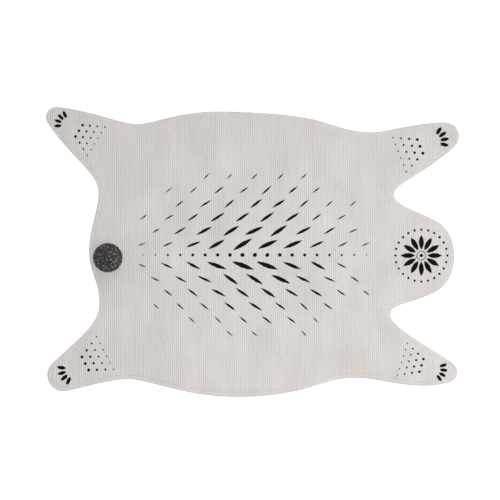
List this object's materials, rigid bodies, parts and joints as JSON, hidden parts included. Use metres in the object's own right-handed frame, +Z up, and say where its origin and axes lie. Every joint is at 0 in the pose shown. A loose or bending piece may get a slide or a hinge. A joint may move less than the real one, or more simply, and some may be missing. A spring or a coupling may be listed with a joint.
{
  "type": "bear hide shaped kids rug with pompom tail",
  "caption": "Flat rib-woven cotton play rug cut to the outline of a bear hide, with head and paws, a dark print on a pale ground and a yarn pompom sewn on as a tail.",
  "frame": {"origin": "middle of the whole part's box, on the rug's underside", "axes": "+X towards the head, +Y towards the paws on the rug's left, +Z up out of the printed face"},
  "size_m": [1.4003, 0.9821, 0.0912],
  "materials": {
    "cotton": "matte off-white rib weave with a near-black print",
    "yarn": "matte charcoal yarn, cut ends"
  },
  "bodies": {
    "root": {"rug_panel": "cotton", "tail_pompom": "yarn"}
  },
  "joints": []
}
